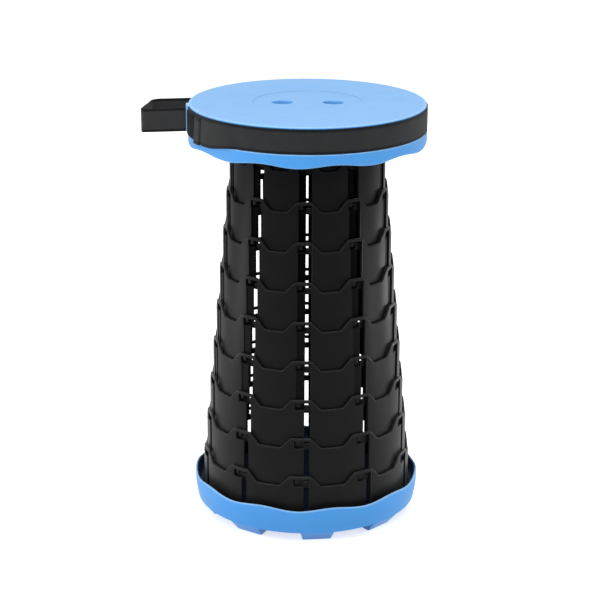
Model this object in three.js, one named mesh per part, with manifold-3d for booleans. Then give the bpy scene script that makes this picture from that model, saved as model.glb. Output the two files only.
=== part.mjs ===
// Collapsible telescopic stool: a round seat on ten nested rings that slide into a base tray.
// Millimetres, +Z up. Angles run round the stool's axis from the front (-Y) towards +X.
import * as THREE from "three";
import { mergeVertices } from "three/addons/utils/BufferGeometryUtils.js";
import Module from "manifold-3d";

const wasm = await Module();
wasm.setup();

const degree = Math.PI / 180;
const turn = 2 * Math.PI;

// Clearances and overruns
const restGap = 0.3;
const grooveSideGap = 0.5;
const overrun = 2;
const weldDistance = 0.0001;

// Rings
const ringCount = 10;
const sectorCount = 10;
const lowestRingRadius = 112.4;
const ringRadialStep = 3.79;
const ringWall = 2.6;
const ringHeight = 55;
const ringOverlap = 13.6;
const flangeHeight = 2;
const ringTwist = 0.15 * degree;

// Castellated upper edge of a ring
const crenelDepth = 11.2;
const crenelSlopeShare = 0.0943;
const peakShare = 0.46;
const peakAngle = -2.75 * degree;

// Slot, pocket and lug of the bayonet
const slotWidth = 6;
const slotAngle = 0.65 * degree;
const slotFoot = 6.5;
const lockAngle = 4.8 * degree;
const lugWidth = 4;
const lugHeight = 4.6;
const lugRise = 5.4;
const lugBite = 0.9;
const pocketHeight = 8;
const pocketMargin = 1.3;

// Base tray
const trayFacets = 60;
const footHeight = 12.2;
const footCount = 9;
const footPhase = 6 * degree;
const footTaper = 10.7;
const footDepth = 26;
const footWidth = 31;
const footSpreadShare = 1.2;
const floorLift = 15.2;
const floorThickness = 3;
const trayWall = 3;
const trayHemSpread = 5.61;
const trayWaistSpread = 7.01;
const trayWaistLift = 20;
const trayRimSpread = 8.31;
const trayRimLift = 28;
const trayRimHeight = 37.8;
const shelfHeight = 24;
const clipCount = 5;
const clipArc = 9 * degree;
const clipPhase = 33 * degree;
const ribThickness = 2.4;
const hubRadius = 22;
const hubFacets = 18;

// Waves of the tray's rim and the seat's skirt
const waveHeight = 3.3;
const wavePhase = -4.7 * degree;

// Seat
const seatFacets = 60;
const seatThickness = 3;
const seatEdgeRun = 3.8;
const seatEdgeRound = 0.7;
const seatLipSetback = 1;
const seatLipThickness = 1.95;
const seatEdgeShare = 0.75;
const skirtWall = 2.4;
const skirtPlay = 0.7;
const skirtDrop = 42;
const skirtStep = 4;
const seatBandWall = 3;
const dishRadius = 57.5;
const dishDepth = 0.8;
const fingerHoleLength = 21.5;
const fingerHoleWidth = 18.5;
const fingerHoleSpacing = 53;
const fingerSleeveWall = 2;
const fingerSleeveDepth = 12;
const holeCurveSteps = 8;
const seatRibDepth = 6;
const bossDepth = 7;
const bossRadius = 4.5;
const bossInset = 7.69;

// Screws between the seat and the smallest ring
const screwCount = 5;
const screwShankRadius = 1.8;
const screwHeadRadius = 3.8;
const screwHeadHeight = 2.4;
const screwTabThickness = 3;
const screwTabWidth = 11;
const screwFacets = 8;

// Webbing strap in the seat's groove
const webbingWidth = 25;
const webbingThickness = 1.4;
const bridgeWall = 1.4;
const bridgeStart = -87.3 * degree;
const bridgeEnd = -80.6 * degree;
const foldEnd = -66.6 * degree;
const keeperStart = -66 * degree;
const keeperEnd = -59.6 * degree;
const strapArcStep = 3 * degree;

// Hand loop at the seat's left side
const loopReach = 49;
const loopNearSide = -4.8;
const loopFarSide = 46.8;
const loopCorner = 12;
const loopSlant = 9;
const loopCornerSteps = 5;

// Colours
const blue = 0x4a9be6;
const black = 0x1c1c1e;
const webbingBlack = 0x33383a;
const steel = 0xb8bcc0;

// Worked-out sizes
const sectorAngle = turn / sectorCount;
const stageStep = ringHeight - ringOverlap;
const crenelSlopeRun = lowestRingRadius * crenelSlopeShare;
const floorTop = floorLift + floorThickness;
const floorMiddle = floorLift + floorThickness / 2;
const lowestRingBottom = floorTop + restGap;
const flangeReach = ringRadialStep - ringWall - restGap;
const recessRadius = lowestRingRadius + flangeReach + restGap;
const trayHemRadius = recessRadius + trayHemSpread;
const trayWaistRadius = recessRadius + trayWaistSpread;
const trayRimRadius = recessRadius + trayRimSpread;
const footTipRadius = trayHemRadius - footTaper;
const footInnerRadius = footTipRadius - footDepth;
const skirtRadius = trayRimRadius + skirtPlay + skirtWall;
const seatTopRadius = skirtRadius - seatEdgeRun;
const seatLipRadius = skirtRadius - seatLipSetback;
const plateUnderside = lowestRingBottom + (ringCount - 1) * stageStep + ringHeight + restGap;
const seatTop = plateUnderside + seatThickness;
const grooveTop = seatTop - seatLipThickness;
const grooveBottom = grooveTop - webbingWidth - 2 * restGap;
const strapInner = skirtRadius - webbingThickness;
const grooveFloor = strapInner - restGap;
const layerInner = skirtRadius + restGap;
const layerOuter = layerInner + webbingThickness;
const bossCircle = ringRadius(1) - ringWall - bossInset;
const bossBottom = plateUnderside - bossDepth;
const tabTop = bossBottom - restGap;

// Numbering runs from ring 1, the smallest, to the lowest and widest
function ringRadius(number) {
  return lowestRingRadius - (ringCount - number) * ringRadialStep;
}

function ringBottom(number) {
  return lowestRingBottom + (ringCount - number) * stageStep;
}

function ringTurn(number) {
  return ((ringCount + 1) / 2 - number) * ringTwist;
}

// Closed solid from a geometry: shared corners are welded and collapsed triangles left out
function toSolid(geometry) {
  const bare = geometry.clone();
  bare.deleteAttribute("normal");
  bare.deleteAttribute("uv");
  const welded = mergeVertices(bare, weldDistance);
  const corners = welded.index.array;
  const triangles = [];
  for (let i = 0; i < corners.length; i += 3) {
    const [a, b, c] = [corners[i], corners[i + 1], corners[i + 2]];
    if (a !== b && b !== c && c !== a) {
      triangles.push(a, b, c);
    }
  }
  return new wasm.Manifold(new wasm.Mesh({
    numProp: 3,
    vertProperties: new Float32Array(welded.attributes.position.array),
    triVerts: new Uint32Array(triangles),
  }));
}

// Named mesh from a finished solid
function toMesh(name, solid, color, roughness, metalness = 0) {
  const { vertProperties, triVerts } = solid.getMesh();
  const geometry = new THREE.BufferGeometry();
  geometry.setAttribute("position", new THREE.BufferAttribute(vertProperties, 3));
  geometry.setIndex(new THREE.BufferAttribute(triVerts, 1));
  geometry.computeVertexNormals();
  const material = new THREE.MeshStandardMaterial({ color, roughness, metalness });
  const mesh = new THREE.Mesh(geometry, material);
  mesh.name = name;
  return mesh;
}

// Body of revolution about Z from [radius, height] points that run anticlockwise round its section
function revolve(section, facets) {
  const points = section.map(([radius, height]) => new THREE.Vector2(radius, height));
  const geometry = new THREE.LatheGeometry(points, facets);
  return geometry.rotateX(turn / 4);
}

// Block between two sides, two depths and two heights, turned about the axis
function turnedBlock(angle, left, right, inner, outer, low, high) {
  const block = new THREE.BoxGeometry(right - left, outer - inner, high - low);
  block.translate((left + right) / 2, -(inner + outer) / 2, (low + high) / 2);
  return block.rotateZ(angle);
}

// Straight block that lies across the radius at an angle
function radialBlock(angle, width, inner, outer, low, high) {
  return turnedBlock(angle, -width / 2, width / 2, inner, outer, low, high);
}

// Plate with an outline in plan, extruded upwards
function planPlate(outline, low, high, curveSegments = holeCurveSteps) {
  const plate = new THREE.ExtrudeGeometry(outline, {
    depth: high - low,
    bevelEnabled: false,
    curveSegments,
  });
  return plate.translate(0, 0, low);
}

// Points along an arc round the axis
function arcPoints(radius, start, end, step = strapArcStep) {
  const count = Math.max(1, Math.round(Math.abs(end - start) / step));
  const points = [];
  for (let i = 0; i <= count; i += 1) {
    const angle = start + ((end - start) * i) / count;
    points.push(new THREE.Vector2(radius * Math.sin(angle), -radius * Math.cos(angle)));
  }
  return points;
}

// Curved bar between two radii and two angles
function arcBar(inner, outer, start, end, low, high) {
  const outline = new THREE.Shape([
    ...arcPoints(outer, start, end),
    ...arcPoints(inner, end, start),
  ]);
  return planPlate(outline, low, high);
}

// Ten gentle waves that the skirt's and the tray's edges share, so that they nest
function waveAt(x, y) {
  const angle = Math.atan2(x, -y);
  return (waveHeight * (1 - Math.cos(sectorCount * (angle - wavePhase)))) / 2;
}

// Raises the corners that lie at one height of a geometry by the wave
function raiseByWave(geometry, height) {
  const place = geometry.attributes.position;
  for (let i = 0; i < place.count; i += 1) {
    if (Math.abs(place.getZ(i) - height) < weldDistance) {
      place.setZ(i, height + waveAt(place.getX(i), place.getY(i)));
    }
  }
  return geometry;
}

// Half the angle of a ring's peak, which is one flat of its wall
function peakHalfAngle(number) {
  const panel = (turn * ringRadius(number)) / sectorCount;
  return ((panel - 2 * crenelSlopeRun) * peakShare) / 2 / ringRadius(number);
}

// Edges of the wall's flats in one sector: the peak's two ends, then the trough's start, middle and end
function flatEdges(number) {
  const start = peakAngle - peakHalfAngle(number);
  const end = peakAngle + peakHalfAngle(number);
  const slope = crenelSlopeRun / ringRadius(number);
  const troughStart = end + slope;
  const troughEnd = start + sectorAngle - slope;
  return [start, end, troughStart, (troughStart + troughEnd) / 2, troughEnd];
}

// Ring wall: a revolved section whose columns of corners are set at the flats' edges,
// with the corners of the upper edge let down in the troughs. The widest ring has a foot flange.
function castellatedWall(number, depth) {
  const radius = ringRadius(number);
  const bore = radius - ringWall;
  const foot = number === ringCount
    ? [[radius + flangeReach, 0], [radius + flangeReach, flangeHeight], [radius, flangeHeight + flangeReach]]
    : [[radius, 0]];
  const section = [
    [bore, 0],
    ...foot,
    [radius, ringHeight],
    [bore, ringHeight],
    [bore, 0],
  ];
  const edges = flatEdges(number);
  const geometry = revolve(section, sectorCount * edges.length);
  const place = geometry.attributes.position;
  for (let i = 0; i < place.count; i += 1) {
    const column = Math.floor(i / section.length);
    const edge = column % edges.length;
    const angle = edges[edge] + Math.floor(column / edges.length) * sectorAngle;
    const [distance, height] = section[i % section.length];
    const lowered = height === ringHeight && edge > 1;
    place.setXYZ(
      i, distance * Math.sin(angle), -distance * Math.cos(angle), lowered ? height - depth : height);
  }
  return toSolid(geometry);
}

// Distance from the axis to a ring's peak flat, for a corner radius of that ring
function flatDistance(number, radius) {
  return radius * Math.cos(peakHalfAngle(number));
}

// Sideways place on the peak's flat of what lies at an angle from the seam
function onFlat(radius, angle) {
  return radius * Math.sin(angle - peakAngle);
}

// One ring: castellated wall with slots, pockets, inner grooves and lugs.
// Slot, pocket, groove and lug of a seam all lie on the flat of one peak.
function ringSolid(number) {
  const smallest = number === 1;
  const widest = number === ringCount;
  const radius = ringRadius(number);
  const boreFlat = flatDistance(number, radius - ringWall);
  const inner = boreFlat - overrun;
  const outer = radius + overrun;
  const pocketTop = stageStep + lugRise + lugHeight + restGap;
  const pocketBottom = pocketTop - pocketHeight;
  const slotTop = smallest ? pocketBottom : pocketTop;
  const slotMiddle = onFlat(radius, slotAngle);
  const slotLeft = slotMiddle - slotWidth / 2;
  const slotRight = slotMiddle + slotWidth / 2;
  const guestMiddle = onFlat(radius - ringRadialStep, -lockAngle);
  const pocketLeft = guestMiddle - lugWidth / 2 - pocketMargin;
  let solid = castellatedWall(number, smallest ? 0 : crenelDepth);

  for (let sector = 0; sector < sectorCount; sector += 1) {
    const flat = sector * sectorAngle + peakAngle;
    const cuts = [turnedBlock(flat, slotLeft, slotRight, inner, outer, slotFoot, slotTop)];
    if (!smallest) {
      const side = lugWidth / 2 + grooveSideGap;
      const reach = boreFlat + lugBite + restGap;
      const low = lugRise - restGap;
      cuts.push(
        turnedBlock(flat, pocketLeft, slotRight, inner, outer, pocketBottom, pocketTop),
        turnedBlock(flat, guestMiddle - side, guestMiddle + side, inner, reach, low, pocketBottom),
      );
    }
    for (const cut of cuts) {
      solid = solid.subtract(toSolid(cut));
    }
    if (!widest) {
      const middle = onFlat(radius, -lockAngle);
      const tip = flatDistance(number + 1, radius + ringRadialStep - ringWall) + lugBite;
      const lug = turnedBlock(
        flat, middle - lugWidth / 2, middle + lugWidth / 2, radius - ringWall / 2, tip, lugRise,
        lugRise + lugHeight);
      solid = solid.add(toSolid(lug));
    }
  }
  return solid;
}

// Screw positions round the seat's bosses
function screwAngles() {
  return Array.from({ length: screwCount }, (_, i) => (i * turn) / screwCount);
}

// Upright round bar at a radius and angle
function post(angle, circle, radius, low, high, facets = screwFacets) {
  const bar = new THREE.CylinderGeometry(radius, radius, high - low, facets);
  bar.rotateX(turn / 4);
  bar.translate(0, -circle, (low + high) / 2);
  return bar.rotateZ(angle);
}

// The smallest ring also carries the tabs that the seat's screws pass through
function smallestRingSolid() {
  const floor = ringBottom(1);
  const bore = ringRadius(1) - ringWall;
  const tabInner = bossCircle - screwTabWidth / 2;
  let solid = ringSolid(1);
  for (const angle of screwAngles()) {
    const low = tabTop - screwTabThickness - floor;
    const high = tabTop - floor;
    const tab = radialBlock(angle - ringTurn(1), screwTabWidth, tabInner, bore + ringWall / 2, low, high);
    const hole = post(
      angle - ringTurn(1), bossCircle, screwShankRadius + restGap, low - overrun, high + overrun);
    solid = solid.add(toSolid(tab)).subtract(toSolid(hole));
  }
  return solid;
}

function ellipse(width, length, middle) {
  const outline = new THREE.Shape();
  outline.absellipse(middle, 0, length / 2, width / 2, 0, turn, false, 0);
  return outline;
}

// Seat: top plate with a shallow dish, lip, strap groove and wavy skirt
function seatSolid() {
  const skirtEdge = seatTop - skirtDrop;
  const skirtInner = skirtRadius - skirtWall;
  const bandInner = grooveFloor - seatBandWall;
  const meet = trayRimHeight + waveHeight + (ringCount - 1) * stageStep + restGap;
  const section = raiseByWave(revolve([
    [0, plateUnderside],
    [bandInner, plateUnderside],
    [bandInner, meet + skirtStep],
    [skirtInner, meet],
    [skirtInner, skirtEdge],
    [skirtRadius, skirtEdge],
    [skirtRadius, grooveBottom],
    [grooveFloor, grooveBottom],
    [grooveFloor, grooveTop],
    [seatLipRadius, grooveTop],
    [seatTopRadius + (seatLipRadius - seatTopRadius) * seatEdgeShare, seatTop - seatEdgeRound],
    [seatTopRadius, seatTop],
    [dishRadius, seatTop],
    [dishRadius - dishDepth, seatTop - dishDepth],
    [0, seatTop - dishDepth],
  ], seatFacets), skirtEdge);
  let solid = toSolid(section);

  const smallestBore = ringRadius(1) - ringWall;
  for (const angle of screwAngles()) {
    const rib = radialBlock(
      angle,
      ribThickness,
      -smallestBore + overrun,
      smallestBore - overrun,
      plateUnderside - seatRibDepth,
      plateUnderside + overrun / 2,
    );
    const boss = post(angle, bossCircle, bossRadius, bossBottom, plateUnderside + overrun / 2);
    solid = solid.add(toSolid(rib)).add(toSolid(boss));
  }
  for (const angle of screwAngles()) {
    const pilot = post(angle, bossCircle, screwShankRadius + restGap, bossBottom - overrun, plateUnderside);
    solid = solid.subtract(toSolid(pilot));
  }

  const sleeveBottom = plateUnderside - fingerSleeveDepth;
  for (const side of [-1, 1]) {
    const middle = (side * fingerHoleSpacing) / 2;
    const around = ellipse(
      fingerHoleWidth + 2 * fingerSleeveWall, fingerHoleLength + 2 * fingerSleeveWall, middle);
    const hole = ellipse(fingerHoleWidth, fingerHoleLength, middle);
    solid = solid.add(toSolid(planPlate(around, sleeveBottom, plateUnderside + overrun / 2)));
    solid = solid.subtract(toSolid(planPlate(hole, sleeveBottom - overrun, seatTop + overrun)));
  }

  const bridgeLow = grooveBottom - seatLipThickness;
  const bridge = arcBar(
    grooveFloor - seatBandWall / 2, layerInner + bridgeWall, bridgeStart, bridgeEnd, bridgeLow,
    seatTop - seatEdgeRound);
  const passage = arcBar(
    grooveFloor, layerInner, bridgeStart - strapArcStep, bridgeEnd + strapArcStep, grooveBottom, grooveTop);
  return solid.add(toSolid(bridge).subtract(toSolid(passage)));
}

// Base tray: floor, bowl-shaped wall with a wavy rim, recess for the widest ring, ribs and feet
function traySolid() {
  const rimInner = trayRimRadius - trayWall;
  const hemInner = trayHemRadius - trayWall;
  const outside = [
    [trayHemRadius, footHeight],
    [trayWaistRadius, trayWaistLift],
    [trayRimRadius, trayRimLift],
  ];
  let solid = toSolid(raiseByWave(revolve([
    [0, floorLift],
    [hemInner, floorLift],
    [hemInner, footHeight],
    ...outside,
    [trayRimRadius, trayRimHeight],
    [rimInner, trayRimHeight],
    [rimInner, trayRimLift],
    [(rimInner + recessRadius) / 2, shelfHeight],
    [recessRadius, shelfHeight],
    [recessRadius, floorTop],
    [0, floorTop],
  ], trayFacets), trayRimHeight));

  const clipLow = lowestRingBottom + flangeHeight + flangeReach + restGap;
  for (let i = 0; i < clipCount; i += 1) {
    const middle = clipPhase + (i * turn) / clipCount;
    const clip = arcBar(
      ringRadius(ringCount) + restGap, recessRadius + overrun / 2, middle - clipArc / 2,
      middle + clipArc / 2, clipLow, shelfHeight);
    solid = solid.add(toSolid(clip));
  }

  // Feet taper from the hem to their tips, so they are trimmed by a cone
  const cone = toSolid(revolve([
    [0, 0],
    [footTipRadius, 0],
    [trayHemRadius, footHeight],
    [hemInner + trayWall / 2, floorLift],
    [hemInner, floorMiddle],
    [0, floorMiddle],
  ], trayFacets));
  const foot = new THREE.Shape([
    new THREE.Vector2(-footWidth / 2, 0),
    new THREE.Vector2(footWidth / 2, 0),
    new THREE.Vector2((footWidth / 2) * footSpreadShare, footHeight),
    new THREE.Vector2((footWidth / 2) * footSpreadShare, floorMiddle),
    new THREE.Vector2((-footWidth / 2) * footSpreadShare, floorMiddle),
    new THREE.Vector2((-footWidth / 2) * footSpreadShare, footHeight),
  ]);
  for (let i = 0; i < footCount; i += 1) {
    const angle = footPhase + (i * turn) / footCount;
    const block = new THREE.ExtrudeGeometry(foot, {
      depth: trayHemRadius + overrun - footInnerRadius,
      bevelEnabled: false,
    });
    block.translate(0, 0, footInnerRadius).rotateX(turn / 4).rotateZ(angle);
    solid = solid.add(toSolid(block).intersect(cone));
    const rib = radialBlock(
      angle, ribThickness, hubRadius - overrun / 2, footInnerRadius + overrun, footHeight,
      floorMiddle);
    solid = solid.add(toSolid(rib));
  }
  const hub = revolve([
    [hubRadius - ribThickness, footHeight],
    [hubRadius, footHeight],
    [hubRadius, floorMiddle],
    [hubRadius - ribThickness, floorMiddle],
    [hubRadius - ribThickness, footHeight],
  ], hubFacets);
  return solid.add(toSolid(hub));
}

// Pan-head screw, driven from below through a tab into its boss
function screwSolid() {
  const headTop = tabTop - screwTabThickness - restGap;
  return toSolid(revolve([
    [0, headTop - screwHeadHeight],
    [screwHeadRadius - screwHeadHeight / 2, headTop - screwHeadHeight],
    [screwHeadRadius, headTop - screwHeadHeight / 2],
    [screwHeadRadius, headTop],
    [screwShankRadius, headTop],
    [screwShankRadius, plateUnderside - overrun / 2],
    [0, plateUnderside - overrun / 2],
  ], screwFacets)).translate([0, -bossCircle, 0]);
}

// Flat webbing round the groove
function strapBandSolid() {
  const low = grooveBottom + restGap;
  return toSolid(revolve([
    [strapInner, low],
    [skirtRadius, low],
    [skirtRadius, low + webbingWidth],
    [strapInner, low + webbingWidth],
    [strapInner, low],
  ], seatFacets));
}

// Outer layer of webbing sewn onto the band
function strapLayerSolid(start, end) {
  const low = grooveBottom + restGap;
  return toSolid(arcBar(layerInner, layerOuter, start, end, low, low + webbingWidth));
}

// Outline of the hand loop, drawn in from its outside by an inset
function loopOutline(inset) {
  const base = layerInner + inset;
  const near = loopNearSide + inset;
  const far = loopFarSide - inset;
  const left = -(skirtRadius + loopReach) + inset;
  const corner = loopCorner - inset;
  const startAngle = -Math.acos(-near / base);
  const endAngle = -Math.acos(-far / base);
  const points = arcPoints(base, endAngle, startAngle);
  const bends = [
    [left + corner, near + corner, -turn / 4],
    [left + loopSlant + corner, far - corner, -turn / 2],
  ];
  for (const [x, y, from] of bends) {
    for (let i = 0; i <= loopCornerSteps; i += 1) {
      const angle = from - ((turn / 4) * i) / loopCornerSteps;
      points.push(new THREE.Vector2(x + corner * Math.cos(angle), y + corner * Math.sin(angle)));
    }
  }
  return points;
}

function handLoopSolid() {
  const outline = new THREE.Shape(loopOutline(0));
  outline.holes.push(new THREE.Path(loopOutline(webbingThickness).reverse()));
  const low = grooveBottom + restGap;
  return toSolid(planPlate(outline, low, low + webbingWidth));
}

const plasticRough = 0.5;
const webbingRough = 0.9;
const steelRough = 0.35;

const stool = new THREE.Group();

// Base tray with the widest ring standing in it
const base = new THREE.Group();
base.add(toMesh("base_tray", traySolid(), blue, plasticRough));
stool.add(base);

// Rings, each turned a little against the next as the lugs settle in their pockets
const rings = new THREE.Group();
for (let number = 1; number <= ringCount; number += 1) {
  const solid = number === 1 ? smallestRingSolid() : ringSolid(number);
  const name = `ring_${String(number).padStart(2, "0")}`;
  const ring = toMesh(name, solid, black, plasticRough);
  ring.position.z = ringBottom(number);
  ring.rotation.z = ringTurn(number);
  rings.add(ring);
}
stool.add(rings);

// Seat with its screws and webbing
const seat = new THREE.Group();
seat.add(toMesh("seat_shell", seatSolid(), blue, plasticRough));
screwAngles().forEach((angle, i) => {
  const screw = toMesh(`seat_screw_${i + 1}`, screwSolid(), steel, steelRough, 1);
  screw.rotation.z = angle;
  seat.add(screw);
});
seat.add(toMesh("strap_band", strapBandSolid(), webbingBlack, webbingRough));
const webbingLayers = {
  strap_fold: strapLayerSolid(bridgeEnd + restGap / layerOuter, foldEnd),
  strap_keeper: strapLayerSolid(keeperStart, keeperEnd),
  hand_loop: handLoopSolid(),
};
for (const [name, solid] of Object.entries(webbingLayers)) {
  seat.add(toMesh(name, solid, webbingBlack, webbingRough));
}
stool.add(seat);

// The origin is the middle of the whole stool's footprint, on the floor
stool.updateMatrixWorld(true);
const extent = new THREE.Box3().setFromObject(stool);
stool.position.x = -(extent.min.x + extent.max.x) / 2;
stool.position.y = -(extent.min.y + extent.max.y) / 2;

export default stool;
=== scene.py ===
import math
import bmesh
import bpy
import numpy as np
from mathutils import Matrix, Vector


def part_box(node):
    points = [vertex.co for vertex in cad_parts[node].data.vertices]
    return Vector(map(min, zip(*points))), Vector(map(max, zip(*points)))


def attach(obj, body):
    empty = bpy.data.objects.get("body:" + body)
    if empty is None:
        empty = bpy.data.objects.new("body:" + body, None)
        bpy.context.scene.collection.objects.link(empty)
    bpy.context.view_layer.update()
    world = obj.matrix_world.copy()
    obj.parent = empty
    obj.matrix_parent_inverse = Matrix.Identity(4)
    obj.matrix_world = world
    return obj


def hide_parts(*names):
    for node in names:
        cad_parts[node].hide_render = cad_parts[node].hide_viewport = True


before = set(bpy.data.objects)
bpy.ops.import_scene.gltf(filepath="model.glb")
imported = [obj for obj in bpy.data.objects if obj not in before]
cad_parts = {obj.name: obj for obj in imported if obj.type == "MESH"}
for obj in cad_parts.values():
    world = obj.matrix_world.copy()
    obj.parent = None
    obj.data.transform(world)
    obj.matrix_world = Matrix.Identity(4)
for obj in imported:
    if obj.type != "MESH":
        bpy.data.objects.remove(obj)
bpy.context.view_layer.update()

mm = 0.001
degree = math.pi / 180
weldDistance, sharpAngle, cornerLimit = 1e-6, 38 * degree, 0.49

# The rings' axis stands beside the frame's origin, because the hand loop counts in its box
trayLow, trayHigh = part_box("base_tray")
axisX = (trayLow[0] + trayHigh[0]) / 2
print("frame loaded, axis at", round(axisX, 5))

# Sizes that several pieces share, in millimetres and degrees as the solids have them; the screws' circle
# also places the seat's bosses
stool = {
    "ringCount": 10, "sectors": 10, "lowestRadius": 112.4, "radialStep": 3.79, "wall": 2.6,
    "ringHeight": 55.0, "stageStep": 41.4, "lowestBottom": 18.5, "twist": 0.15,
    "seatTop": 449.4, "plateUnder": 446.4, "waveHeight": 3.3, "wavePhase": -4.7,
}

screw = {
    "count": 5, "circle": 68.0, "columns": 48, "headFace": 433.4, "faceWithin": 0.1,
    "headMarks": (0, 0.6, 0.75, 1.9, 2.05), "crossHalf": 0.45, "crossReach": 1.95, "crossDepth": 1.1,
    "outline": [
        [0, 433.4, 0], [2.6, 433.4, 0.3], [3.8, 434.4, 0.8], [3.8, 435.8, 0.3], [1.8, 435.8, 0.1],
        [1.8, 444.6, 0.3], [0, 445.4, 0]],
}


# Evenly spaced angles once round
def fullTurn(count):
    return np.linspace(0, 2 * math.pi, count, endpoint=False)


# Nought at the low value and one at the high one, even between them and held outside
def ramp(value, low, high):
    return np.clip((value - low) / (high - low), 0, 1)


# True above the low value and below the high one
def between(value, low, high):
    return (value > low) & (value < high)


# Ten raised-cosine swells round the axis: half the height times one minus the cosine
def wave(angle):
    phase = stool["wavePhase"] * degree
    return stool["waveHeight"] / 2 * (1 - np.cos(stool["sectors"] * (angle - phase)))


# Coordinates spread to one shape and stacked along a last axis
def stacked(*values):
    return np.stack(np.broadcast_arrays(*values), axis=-1)


# Point at a radius and angle from the front: x is r sin a, y is minus r cos a
def polar(radius, angle, height):
    return stacked(radius * np.sin(angle), -radius * np.cos(angle), height)


# Quads between neighbours of a grid whose point (i, j) has index i * rows + j
def gridFaces(columns, rows, wrapColumns=False, wrapRows=False):
    i = np.arange(columns if wrapColumns else columns - 1)[:, None]
    j = np.arange(rows if wrapRows else rows - 1)[None, :]
    ni, nj = (i + 1) % columns, (j + 1) % rows
    return np.stack([i * rows + j, ni * rows + j, ni * rows + nj, i * rows + nj], axis=-1).reshape(-1, 4)


# Flat list of a grid's points, with the quads between them
def sheet(points, wrapColumns=False, wrapRows=False):
    return points.reshape(-1, 3), gridFaces(*points.shape[:2], wrapColumns, wrapRows)


# Closed outline whose corners [x, y, radius] are cut back by the radius, or by almost half of a shorter
# side, and bridged by a parabola
def roundCorners(corners, steps):
    c = np.array(corners, float)
    point, radius = c[:, :2], c[:, 2:3]
    before, after = np.roll(point, 1, axis=0) - point, np.roll(point, -1, axis=0) - point
    lengthBefore = np.linalg.norm(before, axis=1, keepdims=True)
    lengthAfter = np.linalg.norm(after, axis=1, keepdims=True)
    start = (point + before / lengthBefore * np.minimum(radius, lengthBefore * cornerLimit))[:, None]
    end = (point + after / lengthAfter * np.minimum(radius, lengthAfter * cornerLimit))[:, None]
    t = np.linspace(0, 1, steps)[None, :, None]
    return ((1 - t) ** 2 * start + 2 * t * (1 - t) * point[:, None] + t ** 2 * end).reshape(-1, 2)


# Block with rounded edges, turned by an angle from the front, over a run of radii and a range of heights:
# the octants of a ball of the corner's radius, moved out to the block's corners
def roundedBlock(half, run, height, corner, angle):
    low, high = np.array([-half, -run[1], height[0]]), np.array([half, -run[0], height[1]])
    steps = 4
    quarter = np.linspace(0, math.pi / 2, steps)
    around = np.concatenate([quarter + k * math.pi / 2 for k in range(4)])[:, None]
    up = np.concatenate([quarter - math.pi / 2, quarter])
    signX, signY = np.repeat([1, -1, -1, 1], steps)[:, None], np.repeat([1, 1, -1, -1], steps)[:, None]
    ball = stacked(np.cos(around) * np.cos(up), np.sin(around) * np.cos(up), np.sin(up))
    side = stacked(signX, signY, np.repeat([-1, 1], steps))
    points = (low + high) / 2 + side * ((high - low) / 2 - corner) + corner * ball
    c, s = math.cos(angle), math.sin(angle)
    return sheet(points @ np.array([[c, s, 0], [-s, c, 0], [0, 0, 1]]), wrapColumns=True)


# Outline of (radius, height) points carried round the axis; lift adds height by (angle, row)
def revolve(profile, angles, lift=0, closed=True):
    points = polar(profile[None, :, 0], angles[:, None], profile[None, :, 1] + lift)
    return sheet(points, wrapColumns=True, wrapRows=closed)


# Closed section carried along an arc, its ends drawn in to a point
def arcTube(section, start, end, count):
    angles = np.pad(np.linspace(start, end, count) * degree, 1, mode="edge")
    stack = np.tile(section, (len(angles), 1, 1))
    stack[[0, -1]] = section.mean(axis=0)
    return sheet(polar(stack[:, :, 0], angles[:, None], stack[:, :, 1]), wrapRows=True)


# New object in the scene's own collection
def addObject(name, data):
    thing = bpy.data.objects.new(name, data)
    bpy.context.scene.collection.objects.link(thing)
    return thing


# Mesh object in metres from [points, quads] pairs in millimetres round the axis, each one's indices moved
# past those before it. Point values are nought past their end, UVs go by corner, listed edges take the bevel
def makePiece(name, parts, body, nodes, material, values=None, uv=None, bevelEdges=None, bevel=None):
    offsets = np.cumsum([0] + [len(p) for p, _ in parts[:-1]])
    points = np.concatenate([p for p, _ in parts])
    quads = np.concatenate([q + o for (_, q), o in zip(parts, offsets)])
    mesh = bpy.data.meshes.new(name)
    mesh.from_pydata((points * mm + [axisX, 0, 0]), [], quads)
    for key, value in (values or {}).items():
        value = np.pad(value, (0, len(points) - len(value))).astype(np.float32)
        mesh.attributes.new(key, "FLOAT", "POINT").data.foreach_set("value", value)
    if uv is not None:
        mesh.uv_layers.new(name="run").data.foreach_set("uv", np.asarray(uv, np.float32).ravel())
    if bevelEdges is not None:
        pairs = np.empty(len(mesh.edges) * 2, np.int32)
        mesh.edges.foreach_get("vertices", pairs)
        pairs = np.sort(pairs.reshape(-1, 2), axis=1).astype(np.int64)
        wanted = np.sort(bevelEdges, axis=1).astype(np.int64)
        hit = np.isin(pairs @ [len(points), 1], wanted @ [len(points), 1]).astype(np.float32)
        mesh.attributes.new("bevel_weight_edge", "FLOAT", "EDGE").data.foreach_set("value", hit)
    work = bmesh.new()
    work.from_mesh(mesh)
    bmesh.ops.remove_doubles(work, verts=work.verts, dist=weldDistance)
    bmesh.ops.recalc_face_normals(work, faces=work.faces)
    work.to_mesh(mesh)
    work.free()
    piece = addObject(name, mesh)
    if bevel:
        mod = piece.modifiers.new("softEdge", "BEVEL")
        mod.limit_method, mod.width, mod.segments, mod.use_clamp_overlap = "WEIGHT", bevel * mm, 2, False
    mesh.polygons.foreach_set("use_smooth", np.ones(len(mesh.polygons), bool))
    mesh.set_sharp_from_angle(angle=sharpAngle)
    mesh.materials.append(material)
    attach(piece, body)
    if nodes:
        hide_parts(*nodes)


# Gives each named socket its value, or links it where a socket is given instead
def setInputs(tree, sockets, given):
    for key, value in given.items():
        if isinstance(value, bpy.types.NodeSocket):
            tree.links.new(value, sockets[key])
        else:
            sockets[key].default_value = value


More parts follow.
